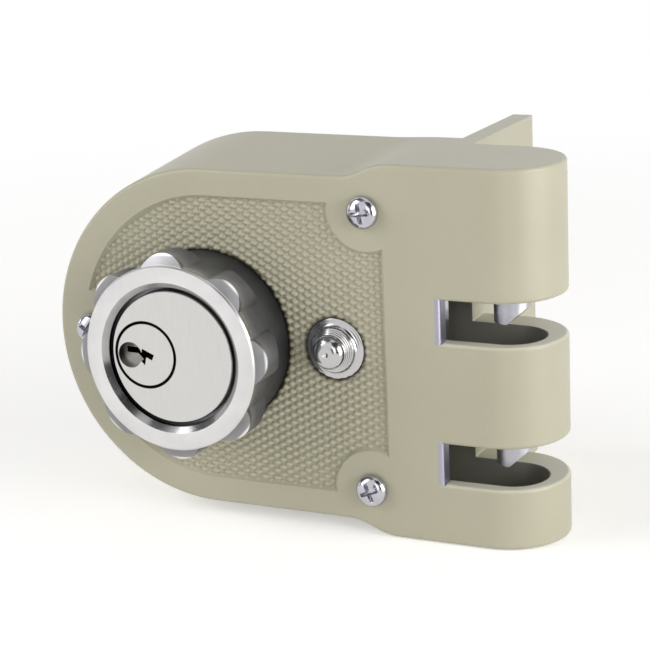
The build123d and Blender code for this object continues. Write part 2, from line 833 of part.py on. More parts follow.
# Bolt slide: web behind the front wall, two arms that reach into the fingers, and a post
with BuildPart() as slide_carrier:
    with BuildSketch(at_depth(web_depth)):
        with Locations((web_left_x, web_bottom)):
            Rectangle(web_right_x - web_left_x, web_top - web_bottom, align=(Align.MIN, Align.MIN))
        with Locations((stud_x, stud_z)):
            SlotCenterToCenter(bolt_travel, stud_slot_width, rotation=90, mode=Mode.SUBTRACT)
    extrude(amount=-web_thickness)
    with BuildSketch(at_depth(web_back_depth)):
        with Locations((web_left_x, web_bottom)):
            Rectangle(post_right_x - web_left_x, post_top - web_bottom, align=(Align.MIN, Align.MIN))
    extrude(amount=web_back_depth - arm_depth)
    for root_x, tip_z in ((web_left_x, upper_tip_z), (lower_arm_left_x, lower_tip_z)):
        with BuildSketch(plan_at(tip_z + bolt_length - bolt_arm_thickness)):
            with Locations((root_x, web_back_depth)):
                Rectangle(
                    web_right_x - root_x,
                    bolt_depth + bolt_arm_half_width - web_back_depth,
                    align=(Align.MIN, Align.MIN),
                )
            with Locations((root_x, bolt_depth)):
                Rectangle(bolt_x - root_x, 2 * bolt_arm_half_width, align=(Align.MIN, Align.CENTER))
            with Locations((bolt_x, bolt_depth)):
                Circle(bolt_arm_half_width)
                Circle(bolt_neck_radius, mode=Mode.SUBTRACT)
        extrude(amount=bolt_arm_thickness)
    with BuildSketch(at_depth(arm_depth)):
        with Locations(*rivet_spots):
            Circle(rivet_radius)
    extrude(amount=arm_depth - web_depth, mode=Mode.SUBTRACT)
slide_carrier.part.label = "slide_carrier"

# Drive arm: its slot follows the crank pin, its lug has three holes for the stop stem
with BuildPart() as drive_arm:
    with BuildSketch(at_depth(arm_depth)):
        with Locations((arm_left_x, 0)):
            Rectangle(post_right_x - arm_left_x, 2 * arm_half_height, align=(Align.MIN, Align.CENTER))
        with Locations((button_x, 0)):
            SlotOverall(2 * lug_half_height, 2 * lug_half_width, rotation=90)
        with Locations((web_left_x, web_bottom)):
            Rectangle(
                post_right_x - web_left_x, arm_half_height - web_bottom, align=(Align.MIN, Align.MIN)
            )
        with Locations((crank_slot_centre_x, 0)):
            SlotOverall(crank_slot_length, crank_slot_width, mode=Mode.SUBTRACT)
        with Locations((button_x, 0), (button_x, bolt_travel / 2), (button_x, -bolt_travel / 2)):
            Circle(stem_radius + stem_hole_play, mode=Mode.SUBTRACT)
        with Locations(*rivet_spots):
            Circle(rivet_radius, mode=Mode.SUBTRACT)
    extrude(amount=-arm_thickness)
drive_arm.part.label = "drive_arm"

with BuildPart() as slide_rivets:
    for spot_x, spot_z in rivet_spots:
        with BuildSketch(turned_at(spot_x, spot_z)):
            with BuildLine():
                Polyline(
                    (0, web_depth),
                    (rivet_radius, web_depth),
                    (rivet_radius, arm_back_depth),
                    (rivet_head_radius, arm_back_depth),
                    (rivet_radius, arm_back_depth + rivet_head_height),
                    (0, arm_back_depth + rivet_head_height),
                    close=True,
                )
            make_face()
        revolve(axis=turning_axis(spot_x, spot_z))
slide_rivets.part.label = "slide_rivets"


def bolt_pin(tip_z):
    """A round bolt with a necked top and a tip bevelled on the side away from the knob."""
    with BuildPart() as pin:
        with BuildSketch(plan_at(tip_z)):
            with Locations((bolt_x, bolt_depth)):
                Circle(bolt_radius)
        extrude(amount=bolt_length - bolt_arm_thickness)
        with BuildSketch(plan_at(tip_z + bolt_length - bolt_arm_thickness)):
            with Locations((bolt_x, bolt_depth)):
                Circle(bolt_neck_radius)
        extrude(amount=bolt_arm_thickness)
        with BuildSketch(at_depth(bolt_depth - bolt_radius - overshoot)):
            with BuildLine():
                Polyline(
                    (bolt_x, tip_z),
                    (bolt_x + bevel_run, tip_z),
                    (bolt_x + bevel_run, tip_z + bevel_rise),
                    close=True,
                )
            make_face()
        extrude(amount=-2 * (bolt_radius + overshoot), mode=Mode.SUBTRACT)
    return pin


bolt_pin_upper = bolt_pin(upper_tip_z)
bolt_pin_upper.part.label = "bolt_pin_upper"
bolt_pin_lower = bolt_pin(lower_tip_z)
bolt_pin_lower.part.label = "bolt_pin_lower"

# Guide stud: riveted into the front wall, its head keeps the slide against the wall
with BuildPart() as guide_stud:
    with BuildSketch(turned_at(stud_x, stud_z)):
        with BuildLine():
            Polyline(
                (0, front_wall - stud_root_length),
                (stud_root_radius, front_wall - stud_root_length),
                (stud_root_radius, front_wall),
                (stud_radius, front_wall),
                (stud_radius, web_back_depth + stud_play),
                (stud_head_radius, web_back_depth + stud_play),
                (stud_head_radius, web_back_depth + stud_play + stud_head_height),
                (0, web_back_depth + stud_play + stud_head_height),
                close=True,
            )
        make_face()
    revolve(axis=turning_axis(stud_x, stud_z))
guide_stud.part.label = "guide_stud"

# Bushing of the stop button, its nut inside the case, the button, its spring and its clip
with BuildPart() as button_bushing:
    with BuildSketch(turned_at(button_x, 0)):
        with BuildLine():
            Polyline(
                (bushing_bore_radius, bushing_neck_depth),
                (bushing_neck_radius, bushing_neck_depth),
                (bushing_neck_radius, bushing_shoulder_depth),
                (bushing_shoulder_radius, bushing_shoulder_depth),
                (bushing_flange_radius, panel_depth - bushing_flange_edge),
                (bushing_flange_radius, panel_depth),
                (bushing_thread_radius, panel_depth),
                (bushing_thread_radius, bushing_end),
                (stem_radius + running_clearance, bushing_end),
                (stem_radius + running_clearance, bushing_shelf_depth),
                (bushing_bore_radius, bushing_shelf_depth),
                close=True,
            )
        make_face()
    revolve(axis=turning_axis(button_x, 0))
button_bushing.part.label = "button_bushing"

with BuildPart() as bushing_nut:
    with BuildSketch(at_depth(front_wall)):
        with Locations((button_x, 0)):
            RegularPolygon(nut_across_flats / 2, 6, major_radius=False)
            Circle(bushing_thread_radius, mode=Mode.SUBTRACT)
    extrude(amount=-nut_thickness)
bushing_nut.part.label = "bushing_nut"

with BuildPart() as stop_button:
    with BuildSketch(turned_at(button_x, 0)):
        with BuildLine():
            Line((0, button_dimple_floor), (button_dimple_radius, -button_projection))
            ThreePointArc(
                (button_dimple_radius, -button_projection),
                (button_shoulder_radius, -button_projection + button_shoulder_drop),
                (button_radius, -button_projection + button_dome),
            )
            Polyline(
                (button_radius, -button_projection + button_dome),
                (button_radius, button_skirt_depth),
                (stem_radius, button_skirt_depth),
                (stem_radius, clip_groove_start),
                (clip_groove_radius, clip_groove_start),
                (clip_groove_radius, clip_groove_end),
                (stem_radius, clip_groove_end),
                (stem_radius, stem_end),
                (0, stem_end),
                (0, button_dimple_floor),
            )
        make_face()
    revolve(axis=turning_axis(button_x, 0))
stop_button.part.label = "stop_button"

with BuildPart() as button_spring:
    with BuildLine() as coil:
        Helix(
            pitch=spring_pitch,
            height=spring_turns * spring_pitch,
            radius=spring_coil_radius,
            center=(button_x, front_y + spring_start, 0),
            direction=(0, 1, 0),
        )
    with BuildSketch(Plane(origin=coil.line @ 0, z_dir=coil.line % 0)):
        Circle(spring_wire_radius)
    sweep(is_frenet=True)
button_spring.part.label = "button_spring"

button_clip = open_ring(
    button_x, clip_groove_start + shear_gap, clip_groove_radius, clip_radius, clip_thickness, clip_opening
)
button_clip.part.label = "button_clip"

pieces = [
    case,
    back_plate,
    case_screws,
    bearing_washer,
    turn_knob,
    knob_retaining_ring,
    cylinder_shell,
    cylinder_plug,
    plug_retainer,
    plug_cam,
    key_pins,
    driver_pins,
    pin_springs,
    chamber_caps,
    cylinder_set_screw,
    drive_cam,
    cam_screws,
    crank_pin,
    detent_spring,
    slide_carrier,
    drive_arm,
    slide_rivets,
    bolt_pin_upper,
    bolt_pin_lower,
    guide_stud,
    button_bushing,
    bushing_nut,
    stop_button,
    button_spring,
    button_clip,
]
os.makedirs("parts", exist_ok=True)
for piece in pieces:
    export_step(piece.part, f"parts/{piece.part.label}.step")
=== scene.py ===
import json
import math

import bmesh
import bpy
from mathutils import Matrix, Vector


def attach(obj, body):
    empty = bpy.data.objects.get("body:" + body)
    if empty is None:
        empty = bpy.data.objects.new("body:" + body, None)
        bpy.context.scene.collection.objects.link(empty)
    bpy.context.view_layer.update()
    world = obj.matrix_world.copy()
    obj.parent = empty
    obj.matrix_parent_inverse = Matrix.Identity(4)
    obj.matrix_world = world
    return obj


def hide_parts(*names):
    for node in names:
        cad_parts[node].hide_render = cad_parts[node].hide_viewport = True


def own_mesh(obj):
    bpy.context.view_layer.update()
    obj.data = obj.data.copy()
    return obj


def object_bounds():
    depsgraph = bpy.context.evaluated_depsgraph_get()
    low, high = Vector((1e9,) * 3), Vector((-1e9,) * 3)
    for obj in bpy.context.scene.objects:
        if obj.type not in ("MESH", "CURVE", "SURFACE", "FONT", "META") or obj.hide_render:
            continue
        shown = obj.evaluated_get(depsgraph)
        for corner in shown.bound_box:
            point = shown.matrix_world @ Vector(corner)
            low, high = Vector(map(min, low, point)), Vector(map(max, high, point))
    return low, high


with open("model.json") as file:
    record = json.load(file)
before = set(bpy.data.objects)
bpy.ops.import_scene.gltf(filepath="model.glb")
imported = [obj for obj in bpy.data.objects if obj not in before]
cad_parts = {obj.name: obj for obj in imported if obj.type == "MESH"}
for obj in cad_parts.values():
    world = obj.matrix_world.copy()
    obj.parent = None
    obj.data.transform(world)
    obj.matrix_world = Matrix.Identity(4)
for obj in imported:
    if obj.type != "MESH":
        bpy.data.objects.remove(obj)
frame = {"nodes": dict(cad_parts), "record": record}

cad_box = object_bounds()

MM = 0.001

# Where the pieces are, in millimetres, as in the part's source: x to the bolts, y into the door
FRONT = -31.0
FRONT_WALL = 3.3
PANEL_FLOOR = FRONT + 1.0
PANEL_LEFT_ROUND = 1.2
PANEL_HALF_HEIGHT = 30.6
PANEL_RIGHT = 41.2
NOTCH_RADIUS = 9.4
RING_INNER_RADIUS = 16.3
RING_RADIUS = 20.0
COLLAR_RADIUS = 19.45
PLUG_X = -6.26
PLUG_RADIUS = 7.07
KNOB_FACE = FRONT - 16.5
CYLINDER_FACE = KNOB_FACE + 1.1
BUTTON_X = 30.2
FLANGE_RADIUS = 6.6
FINGER_END = 77.2
FINGER_DEPTH = 26.0
SLOT_LEFT = 54.4
# The top and the floor of each slot between the fingers
SLOTS = ((12.4, 3.3), (-18.4, -27.2))
HOLLOW_LEFT = 46.0
HOLLOW_ROUND_X = 66.1
HOLLOW_ROUND_RADIUS = 7.5
HOLLOW_MIDDLE = FRONT + FRONT_WALL + HOLLOW_ROUND_RADIUS
HOLLOW_HALF_HEIGHT = 37.0
# Each case screw's x and z, and the angle of its cross in degrees
SCREWS = {
    "upper": (38.2, 30.05, 8.0),
    "lower": (38.2, -30.05, 22.0),
    "left": (-28.75, 0.0, -31.0),
}


def linear(hex_colour):
    """An sRGB hex colour as the linear values that Blender's sockets take."""
    channels = [int(hex_colour[place:place + 2], 16) / 255 for place in (1, 3, 5)]
    return [c / 12.92 if c <= 0.04045 else ((c + 0.055) / 1.055) ** 2.4 for c in channels] + [1.0]


def add_node(tree, kind, settings=(), links=()):
    """Adds one node, gives its inputs or properties their settings, and links its inputs."""
    node = tree.nodes.new(kind)
    for name, value in dict(settings).items():
        if isinstance(name, int) or name in node.inputs:
            node.inputs[name].default_value = value
        else:
            setattr(node, name, value)
    for name, source in dict(links).items():
        tree.links.new(source, node.inputs[name])
    return node


def new_material(name, settings):
    """A material with its Principled shader set, and the tree, shader and object coordinates."""
    material = bpy.data.materials.new(name)
    material.use_nodes = True
    tree = material.node_tree
    shader = tree.nodes["Principled BSDF"]
    for socket, value in settings.items():
        shader.inputs[socket].default_value = value
    place = add_node(tree, "ShaderNodeTexCoord").outputs["Object"]
    return material, tree, shader, place


def per_metre(millimetres):
    """The texture scale that makes one grain this wide."""
    return 1 / (millimetres * MM)


# What a Mix node is set to where one colour darkens another by multiplying, for painted shade
DARKENING = {"data_type": "RGBA", "blend_type": "MULTIPLY", 0: 1.0}


def inside_box(tree, place, low, high, soft_mm):
    """1 inside a box with these corners in millimetres, and 0 beyond its soft edge."""
    middle = [(near + far) / 2 * MM for near, far in zip(low, high)]
    half = [(far - near) / 2 * MM for near, far in zip(low, high)]
    apart = add_node(
        tree, "ShaderNodeVectorMath", {"operation": "SUBTRACT", 1: middle}, {0: place}
    ).outputs[0]
    apart = add_node(tree, "ShaderNodeVectorMath", {"operation": "ABSOLUTE"}, {0: apart}).outputs[0]
    beyond = add_node(
        tree, "ShaderNodeVectorMath", {"operation": "SUBTRACT", 1: half}, {0: apart}
    ).outputs[0]
    sides = add_node(tree, "ShaderNodeSeparateXYZ", links={0: beyond}).outputs
    most = add_node(
        tree, "ShaderNodeMath", {"operation": "MAXIMUM"}, {0: sides["X"], 1: sides["Y"]}
    ).outputs[0]
    most = add_node(
        tree, "ShaderNodeMath", {"operation": "MAXIMUM"}, {0: most, 1: sides["Z"]}
    ).outputs[0]
    return add_node(
        tree,
        "ShaderNodeMapRange",
        {"From Max": soft_mm * MM, "To Min": 1.0, "To Max": 0.0},
        {"Value": most},
    ).outputs["Result"]


def inside_fingers(tree, place):
    """1 on the walls of the hollow in the fingers, which ends in a half round, and 0 outside."""
    parts = add_node(tree, "ShaderNodeSeparateXYZ", links={0: place}).outputs
    past_round = add_node(
        tree, "ShaderNodeMath", {"operation": "SUBTRACT", 1: HOLLOW_ROUND_X * MM}, {0: parts["X"]}
    ).outputs[0]
    past_round = add_node(
        tree, "ShaderNodeMath", {"operation": "MAXIMUM", 1: 0.0}, {0: past_round}
    ).outputs[0]
    off_middle = add_node(
        tree, "ShaderNodeMath", {"operation": "SUBTRACT", 1: HOLLOW_MIDDLE * MM}, {0: parts["Y"]}
    ).outputs[0]
    flat = add_node(tree, "ShaderNodeCombineXYZ", links={"X": past_round, "Y": off_middle})
    away = add_node(
        tree, "ShaderNodeVectorMath", {"operation": "LENGTH"}, {0: flat.outputs[0]}
    ).outputs["Value"]
    up = add_node(tree, "ShaderNodeMath", {"operation": "ABSOLUTE"}, {0: parts["Z"]}).outputs[0]
    inside = None
    for value, edge, fall in (
        (away, HOLLOW_ROUND_RADIUS + 0.1, 0.2),
        (parts["X"], HOLLOW_LEFT, -0.2),
        (up, HOLLOW_HALF_HEIGHT + 0.1, 0.4),
    ):
        near = add_node(
            tree,
            "ShaderNodeMapRange",
            {"From Min": edge * MM, "From Max": (edge + fall) * MM, "To Min": 1.0, "To Max": 0.0},
            {"Value": value},
        ).outputs["Result"]
        if inside is None:
            inside = near
        else:
            inside = add_node(
                tree, "ShaderNodeMath", {"operation": "MULTIPLY"}, {0: inside, 1: near}
            ).outputs[0]
    return inside


def round_axis(tree, place, axis_x):
    """Distance from a turned piece's axis, and depth along it."""
    parts = add_node(tree, "ShaderNodeSeparateXYZ", links={0: place})
    across = add_node(
        tree,
        "ShaderNodeMath",
        {"operation": "SUBTRACT", 1: axis_x * MM},
        {0: parts.outputs["X"]},
    ).outputs[0]
    flat = add_node(tree, "ShaderNodeCombineXYZ", links={"X": across, "Z": parts.outputs["Z"]})
    radius = add_node(
        tree, "ShaderNodeVectorMath", {"operation": "LENGTH"}, {0: flat.outputs[0]}
    ).outputs["Value"]
    return radius, parts.outputs["Y"]


def turning_marks(tree, radius, depth, ring_mm):
    """The lathe's rings: a value that changes with radius and depth only. A real ring is about
    0.06 mm wide, so they are drawn coarser, ring_mm wide, to show at all."""
    rings = add_node(tree, "ShaderNodeCombineXYZ", links={"X": radius, "Y": depth})
    return add_node(
        tree,
        "ShaderNodeTexNoise",
        {"Scale": per_metre(ring_mm), "Detail": 2.0},
        {"Vector": rings.outputs[0]},
    ).outputs["Fac"]


def tints_along(tree, length, low_mm, high_mm, stops):
    """Colours along a length: each stop is a place in millimetres and a hex colour."""
    share = add_node(
        tree,
        "ShaderNodeMapRange",
        {"From Min": low_mm * MM, "From Max": high_mm * MM},
        {"Value": length},
    ).outputs["Result"]
    tints = add_node(tree, "ShaderNodeValToRGB", links={"Fac": share})
    band = tints.color_ramp
    while len(band.elements) < len(stops):
        band.elements.new(1.0)
    for element, (stop_mm, hex_colour) in zip(band.elements, stops):
        element.position = (stop_mm - low_mm) / (high_mm - low_mm)
        element.color = linear(hex_colour)
    return tints.outputs["Color"]


def champagne_enamel():
    """Stoved champagne enamel over a zinc die casting: satin, a little uneven, faint orange peel.
    Painted shade darkens the angle round the knob and the button, the strike has rubbed the slots'
    edges bare, painted light makes their floors pale, and the inside of the case is unpainted grey,
    with painted shade darkening it."""
    material, tree, shader, place = new_material(
        "champagne_enamel", {"IOR": 1.5, "Coat Weight": 0.12, "Coat Roughness": 0.25}
    )
    cloud = add_node(
        tree, "ShaderNodeTexNoise", {"Scale": per_metre(22), "Detail": 3.0}, {"Vector": place}
    ).outputs["Fac"]
    # The flakes in the enamel are about 0.05 mm wide, and are drawn coarser to show at all
    speck = add_node(
        tree, "ShaderNodeTexNoise", {"Scale": per_metre(0.35), "Detail": 2.0}, {"Vector": place}
    ).outputs["Fac"]
    colour = add_node(
        tree,
        "ShaderNodeMix",
        {"data_type": "RGBA", 6: linear("#B3AF98"), 7: linear("#BDB9A3")},
        {0: cloud},
    ).outputs[2]
    colour = add_node(
        tree,
        "ShaderNodeMix",
        {"data_type": "RGBA", "blend_type": "SOFT_LIGHT", 0: 0.07},
        {6: colour, 7: speck},
    ).outputs[2]
    # Painted shade: the enamel darkens towards the seat of the knob's collar and of the button's
    # flange
    for axis_x, seat in ((0.0, COLLAR_RADIUS), (BUTTON_X, FLANGE_RADIUS)):
        radius, _ = round_axis(tree, place, axis_x)
        painted_contact_shade = tints_along(
            tree,
            radius,
            seat - 0.5,
            seat + 1.5,
            [(seat, "#4E4A41"), (seat + 0.35, "#8E8A7E"), (seat + 0.9, "#FFFFFF")],
        )
        colour = add_node(tree, "ShaderNodeMix", DARKENING, {6: colour, 7: painted_contact_shade}).outputs[2]
    # Painted light: the slots' floors, which the fingers above shade, are painted paler
    for _, bottom in SLOTS:
        painted_floor_light = inside_box(
            tree,
            place,
            (SLOT_LEFT, FRONT - 0.1, bottom - 0.2),
            (FINGER_END + 0.8, FRONT + FINGER_DEPTH + 0.1, bottom + 0.1),
            soft_mm=0.4,
        )
        colour = add_node(
            tree,
            "ShaderNodeMix",
            {"data_type": "RGBA", 7: linear("#D4D1BE")},
            {0: painted_floor_light, 6: colour},
        ).outputs[2]
    # The hollow in the fingers is unpainted grey zinc, painted darker as painted shade in the
    # hollow
    colour = add_node(
        tree,
        "ShaderNodeMix",
        {"data_type": "RGBA", 7: linear("#8B897F")},
        {0: inside_fingers(tree, place), 6: colour},
    ).outputs[2]
    bare = None
    for top, bottom in SLOTS:
        rubbed = inside_box(
            tree,
            place,
            (SLOT_LEFT - 0.9, FRONT - 0.1, bottom - 0.1),
            (SLOT_LEFT + 0.2, FRONT + FRONT_WALL - 0.1, top + 0.1),
            soft_mm=0.35,
        )
        if bare is None:
            bare = rubbed
        else:
            bare = add_node(
                tree, "ShaderNodeMath", {"operation": "MAXIMUM"}, {0: bare, 1: rubbed}
            ).outputs[0]
    colour = add_node(
        tree, "ShaderNodeMix", {"data_type": "RGBA", 7: linear("#A9A6B6")}, {0: bare, 6: colour}
    ).outputs[2]
    gloss = add_node(
        tree, "ShaderNodeMapRange", {"To Min": 0.36, "To Max": 0.46}, {"Value": speck}
    ).outputs["Result"]
    # Orange peel is this wide on stoved enamel
    peel = add_node(
        tree, "ShaderNodeTexNoise", {"Scale": per_metre(1.1), "Detail": 1.0}, {"Vector": place}
    ).outputs["Fac"]
    bump = add_node(
        tree, "ShaderNodeBump", {"Strength": 0.2, "Distance": 0.01 * MM}, {"Height": peel}
    ).outputs["Normal"]
    tree.links.new(colour, shader.inputs["Base Color"])
    tree.links.new(bare, shader.inputs["Metallic"])
    tree.links.new(gloss, shader.inputs["Roughness"])
    tree.links.new(bump, shader.inputs["Normal"])
    return material


# The knob's tints lie between these radii
KNOB_TINTS_FROM = 13.0
KNOB_TINTS_TO = 23.0


def satin_nickel():
    """Nickel plate on the cast knob: a bright machined ring, duller finger lobes, and a collar
    painted dark grey, darker towards the panel, as painted shade. The seat of the cylinder is
    painted near black as painted shade."""
    material, tree, shader, place = new_material("satin_nickel", {"Metallic": 1.0})
    radius, depth = round_axis(tree, place, 0.0)
    marks = turning_marks(tree, radius, depth, ring_mm=0.22)
    # Inside the ring's inner edge the seat of the cylinder is painted near black, as painted shade
    face = tints_along(
        tree,
        radius,
        KNOB_TINTS_FROM,
        KNOB_TINTS_TO,
        [
            (RING_INNER_RADIUS - 1.25, "#121110"),
            (RING_INNER_RADIUS - 1.15, "#9A9999"),
            (RING_INNER_RADIUS - 0.1, "#ABAAAA"),
            (RING_INNER_RADIUS + 0.05, "#DBDADA"),
            (RING_RADIUS - 0.1, "#D7D6D6"),
            (RING_RADIUS + 0.1, "#888789"),
            (RING_RADIUS + 1.7, "#949395"),
            (RING_RADIUS + 2.1, "#EDECEC"),
        ],
    )
    # Painted shade: the collar and the lobes' sides grow darker grey towards the panel
    side = tints_along(
        tree,
        depth,
        KNOB_FACE,
        FRONT,
        [
            (KNOB_FACE + 1.6, "#98989B"),
            (KNOB_FACE + 4.0, "#808084"),
            (KNOB_FACE + 8.0, "#6A6B70"),
            (FRONT - 1.0, "#4E4F54"),
        ],
    )
    shaded_collar = add_node(
        tree,
        "ShaderNodeMapRange",
        {
            "From Min": (KNOB_FACE + 1.5) * MM,
            "From Max": (KNOB_FACE + 1.9) * MM,
            "interpolation_type": "SMOOTHSTEP",
        },
        {"Value": depth},
    ).outputs["Result"]
    plate = add_node(
        tree, "ShaderNodeMix", {"data_type": "RGBA"}, {0: shaded_collar, 6: face, 7: side}
    ).outputs[2]
    cloud = add_node(
        tree, "ShaderNodeTexNoise", {"Scale": per_metre(5.0), "Detail": 5.0}, {"Vector": place}
    ).outputs["Fac"]
    colour = add_node(
        tree,
        "ShaderNodeMix",
        {"data_type": "RGBA", "blend_type": "SOFT_LIGHT", 0: 0.45},
        {6: plate, 7: cloud},
    ).outputs[2]
    gloss = add_node(
        tree, "ShaderNodeMapRange", {"To Min": 0.26, "To Max": 0.4}, {"Value": marks}
    ).outputs["Result"]
    gloss = add_node(
        tree, "ShaderNodeMath", {"operation": "MULTIPLY_ADD", 1: 0.2}, {0: shaded_collar, 2: gloss}
    ).outputs[0]
    polish = add_node(
        tree,
        "ShaderNodeMapRange",
        {
            "From Min": (RING_INNER_RADIUS - 0.15) * MM,
            "From Max": (RING_INNER_RADIUS + 0.05) * MM,
            "To Min": -0.16,
            "To Max": 0.0,
        },
        {"Value": radius},
    ).outputs["Result"]
    gloss = add_node(
        tree, "ShaderNodeMath", {"operation": "ADD", "use_clamp": True}, {0: gloss, 1: polish}
    ).outputs[0]
    bump = add_node(
        tree, "ShaderNodeBump", {"Strength": 0.35, "Distance": 0.008 * MM}, {"Height": marks}
    ).outputs["Normal"]
    tree.links.new(colour, shader.inputs["Base Color"])
    tree.links.new(gloss, shader.inputs["Roughness"])
    tree.links.new(bump, shader.inputs["Normal"])
    return material


# The painted shade in the key entry starts, and is full, this far up and to the left of the knob's
# axis
ENTRY_SHADE_STARTS = 9.2
ENTRY_SHADE_FULL = 12.2


def dull_nickel():
    """Dull nickel plate on the key cylinder, its face brushed straight up and down. Below the face,
    in the milled key entry, it is darker grey; painted shade makes the keyway and the gap round the
    plug near black and the upper left of the key entry darker. Brush lines are about 0.03 mm wide,
    and are drawn 0.12 mm wide to show at all."""
    material, tree, shader, place = new_material("dull_nickel", {"Metallic": 1.0})
    radius, depth = round_axis(tree, place, PLUG_X)
    grain = add_node(
        tree,
        "ShaderNodeMapping",
        {"Scale": (per_metre(0.12), per_metre(0.5), per_metre(5.0))},
        {"Vector": place},
    ).outputs[0]
    brushed = add_node(
        tree, "ShaderNodeTexNoise", {"Scale": 1.0, "Detail": 3.0}, {"Vector": grain}
    ).outputs["Fac"]
    face = add_node(
        tree,
        "ShaderNodeMix",
        {"data_type": "RGBA", 6: linear("#C6C5C3"), 7: linear("#D6D5D2")},
        {0: brushed},
    ).outputs[2]
    # Darker grey below the face, and past the key entry's floor the keyway is painted near black as
    # painted shade
    deep = tints_along(
        tree,
        depth,
        CYLINDER_FACE,
        CYLINDER_FACE + 2.0,
        [
            (CYLINDER_FACE + 0.05, "#FFFFFF"),
            (CYLINDER_FACE + 0.12, "#A9A7A5"),
            (CYLINDER_FACE + 1.3, "#B5B3B1"),
            (CYLINDER_FACE + 1.45, "#141210"),
        ],
    )
    # Painted shade: the gap round the plug is painted near black
    gap = tints_along(
        tree,
        radius,
        PLUG_RADIUS - 1.0,
        PLUG_RADIUS + 1.0,
        [
            (PLUG_RADIUS - 0.44, "#FFFFFF"),
            (PLUG_RADIUS - 0.34, "#1A1816"),
            (PLUG_RADIUS + 0.24, "#1A1816"),
            (PLUG_RADIUS + 0.34, "#FFFFFF"),
        ],
    )
    # Painted shade: the round key entry grows darker towards its upper left
    sides = add_node(tree, "ShaderNodeSeparateXYZ", links={0: place}).outputs
    slant = add_node(
        tree, "ShaderNodeMath", {"operation": "SUBTRACT"}, {0: sides["Z"], 1: sides["X"]}
    ).outputs[0]
    entry_shading = add_node(
        tree,
        "ShaderNodeMapRange",
        {
            "From Min": ENTRY_SHADE_STARTS * MM,
            "From Max": ENTRY_SHADE_FULL * MM,
            "interpolation_type": "SMOOTHSTEP",
        },
        {"Value": slant},
    ).outputs["Result"]
    entry_shading = add_node(
        tree,
        "ShaderNodeMix",
        {"data_type": "RGBA", 6: linear("#FFFFFF"), 7: linear("#8A8886")},
        {0: entry_shading},
    ).outputs[2]
    below = add_node(
        tree,
        "ShaderNodeMapRange",
        {"From Min": (CYLINDER_FACE + 0.1) * MM, "From Max": (CYLINDER_FACE + 0.4) * MM},
        {"Value": depth},
    ).outputs["Result"]
    depth_shaded = add_node(tree, "ShaderNodeMix", DARKENING, {6: face, 7: deep}).outputs[2]
    shaded_entry = add_node(tree, "ShaderNodeMix", DARKENING, {6: depth_shaded, 7: entry_shading}).outputs[2]
    depth_shaded = add_node(
        tree, "ShaderNodeMix", {"data_type": "RGBA"}, {0: below, 6: depth_shaded, 7: shaded_entry}
    ).outputs[2]
    colour = add_node(tree, "ShaderNodeMix", DARKENING, {6: depth_shaded, 7: gap}).outputs[2]
    gloss = add_node(
        tree, "ShaderNodeMapRange", {"To Min": 0.28, "To Max": 0.42}, {"Value": brushed}
    ).outputs["Result"]
    bump = add_node(
        tree, "ShaderNodeBump", {"Strength": 0.2, "Distance": 0.004 * MM}, {"Height": brushed}
    ).outputs["Normal"]
    tree.links.new(colour, shader.inputs["Base Color"])
    tree.links.new(gloss, shader.inputs["Roughness"])
    tree.links.new(bump, shader.inputs["Normal"])
    return material


def polished_chrome():
    """Chrome plate over turned brass: a mirror with the faint rings that the lathe left."""
    material, tree, shader, place = new_material("polished_chrome", {"Metallic": 1.0})
    radius, depth = round_axis(tree, place, BUTTON_X)
    marks = turning_marks(tree, radius, depth, ring_mm=0.18)
    colour = add_node(
        tree,
        "ShaderNodeMix",
        {"data_type": "RGBA", 6: linear("#B7B6B7"), 7: linear("#CAC9C9")},
        {0: marks},
    ).outputs[2]
    gloss = add_node(
        tree, "ShaderNodeMapRange", {"To Min": 0.13, "To Max": 0.22}, {"Value": marks}
    ).outputs["Result"]
    bump = add_node(
        tree, "ShaderNodeBump", {"Strength": 0.25, "Distance": 0.005 * MM}, {"Height": marks}
    ).outputs["Normal"]
    tree.links.new(colour, shader.inputs["Base Color"])
    tree.links.new(gloss, shader.inputs["Roughness"])
    tree.links.new(bump, shader.inputs["Normal"])
    return material


def cloudy_metal(name, darker, lighter, cloud_mm, rough_low, rough_high):
    """A metal whose colour and gloss drift in soft clouds, with the grain that drawing, rolling
    or plating leaves. The grain is about 0.05 mm wide, and is drawn 0.25 mm wide to show at all."""
    material, tree, shader, place = new_material(name, {"Metallic": 1.0})
    cloud = add_node(
        tree, "ShaderNodeTexNoise", {"Scale": per_metre(cloud_mm), "Detail": 4.0}, {"Vector": place}
    ).outputs["Fac"]
    colour = add_node(
        tree,
        "ShaderNodeMix",
        {"data_type": "RGBA", 6: linear(darker), 7: linear(lighter)},
        {0: cloud},
    ).outputs[2]
    grain = add_node(
        tree, "ShaderNodeTexNoise", {"Scale": per_metre(0.25), "Detail": 3.0}, {"Vector": place}
    ).outputs["Fac"]
    gloss = add_node(
        tree, "ShaderNodeMapRange", {"To Min": rough_low, "To Max": rough_high}, {"Value": grain}
    ).outputs["Result"]
    bump = add_node(
        tree, "ShaderNodeBump", {"Strength": 0.12, "Distance": 0.004 * MM}, {"Height": grain}
    ).outputs["Normal"]
    tree.links.new(colour, shader.inputs["Base Color"])
    tree.links.new(gloss, shader.inputs["Roughness"])
    tree.links.new(bump, shader.inputs["Normal"])
    return material


